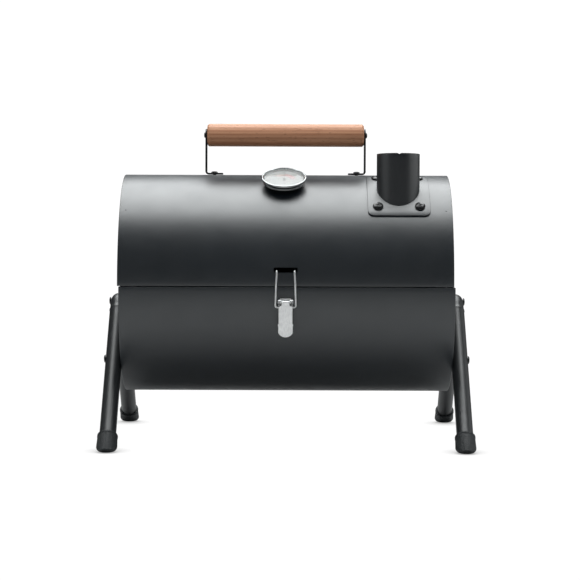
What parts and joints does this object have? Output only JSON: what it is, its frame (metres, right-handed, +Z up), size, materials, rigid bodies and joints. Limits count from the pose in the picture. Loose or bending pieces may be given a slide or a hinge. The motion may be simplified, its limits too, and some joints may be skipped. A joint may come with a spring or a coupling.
{
  "type": "barrel charcoal smoker",
  "caption": "Table-top barrel charcoal smoker: hinged half-barrel lid with chimney, thermometer, wooden handle and toggle latch, on tubular leg frames.",
  "frame": {"origin": "on the floor, at the middle of the footprint of the four feet, under the middle of the barrel", "axes": "+X along the barrel towards the chimney side, +Y from the latch side to the hinge side, +Z up"},
  "size_m": [0.4274, 0.3632, 0.3745],
  "materials": {
    "barrel_paint": "satin",
    "leg_paint": "satin",
    "foot_rubber": "matt, textured",
    "black_fasteners": "gloss black",
    "bracket_paint": "satin",
    "handle_wood": "oiled beech",
    "zinc_plate": "bright zinc",
    "thermometer_steel": "polished",
    "dial_face": "printed",
    "dial_needle": "satin",
    "dial_glass": "clear",
    "grate_chrome": "plated wire",
    "tray_steel": "mill finish"
  },
  "bodies": {
    "base": {"lower_shell": "barrel_paint", "lower_end_right": "barrel_paint", "lower_end_left": "barrel_paint", "leg_frame_right": "leg_paint", "leg_frame_left": "leg_paint", "foot_front_right": "foot_rubber", "foot_rear_right": "foot_rubber", "foot_front_left": "foot_rubber", "foot_rear_left": "foot_rubber", "leg_bolt_apex_right": "black_fasteners", "leg_bolt_front_right": "black_fasteners", "leg_bolt_rear_right": "black_fasteners", "leg_bolt_apex_left": "black_fasteners", "leg_bolt_front_left": "black_fasteners", "leg_bolt_rear_left": "black_fasteners", "hinge_leaf_lower_right": "barrel_paint", "hinge_leaf_lower_left": "barrel_paint", "hinge_pin_right": "zinc_plate", "hinge_pin_left": "zinc_plate", "grate_rail_right": "tray_steel", "grate_rail_left": "tray_steel", "latch_base": "zinc_plate", "latch_fulcrum_pin": "zinc_plate", "latch_rivet_upper": "zinc_plate", "latch_rivet_lower": "zinc_plate", "charcoal_tray": "tray_steel", "cooking_grate": "grate_chrome"},
    "lid": {"lid_shell": "barrel_paint", "lid_end_right": "barrel_paint", "lid_end_left": "barrel_paint", "hinge_leaf_upper_right": "barrel_paint", "hinge_leaf_upper_left": "barrel_paint", "handle_bracket_right": "bracket_paint", "handle_bracket_left": "bracket_paint", "handle_foot_screw_right": "black_fasteners", "handle_foot_screw_left": "black_fasteners", "handle_end_screw_right": "black_fasteners", "handle_end_screw_left": "black_fasteners", "handle_grip": "handle_wood", "chimney_pipe": "barrel_paint", "chimney_flange": "barrel_paint", "chimney_screw_rear_left": "black_fasteners", "chimney_screw_front_left": "black_fasteners", "chimney_screw_rear_right": "black_fasteners", "chimney_screw_front_right": "black_fasteners", "thermometer_case": "thermometer_steel", "thermometer_dial": "dial_face", "thermometer_glass": "dial_glass", "thermometer_stem": "thermometer_steel", "thermometer_nut": "thermometer_steel"},
    "needle": {"thermometer_needle": "dial_needle"},
    "lever": {"latch_lever": "zinc_plate"},
    "bail": {"latch_bail": "zinc_plate"}
  },
  "joints": [
    {"name": "lid_hinge", "type": "hinge", "parent": "base", "child": "lid", "pos_m": [0, 0.1329, 0.1845], "axis": [-1, 0, 0], "range_deg": [0, 177]},
    {"name": "latch_lever_pivot", "type": "hinge", "parent": "base", "child": "lever", "pos_m": [-0.0015, -0.1342, 0.1675], "axis": [-1, 0, 0], "range_deg": [0, 100]},
    {"name": "latch_bail_pivot", "type": "hinge", "parent": "lever", "child": "bail", "pos_m": [-0.0015, -0.13318, 0.16136], "axis": [1, 0, 0], "range_deg": [0, 160]},
    {"name": "thermometer_needle_turn", "type": "hinge", "parent": "lid", "child": "needle", "pos_m": [-0.004, -0.06006, 0.30763], "axis": [0, 0.4384, -0.8988], "range_deg": [0, 270]}
  ],
  "couplings": [
    {"joint": "latch_bail_pivot", "follows": "latch_lever_pivot", "ratio": 1.6}
  ]
}
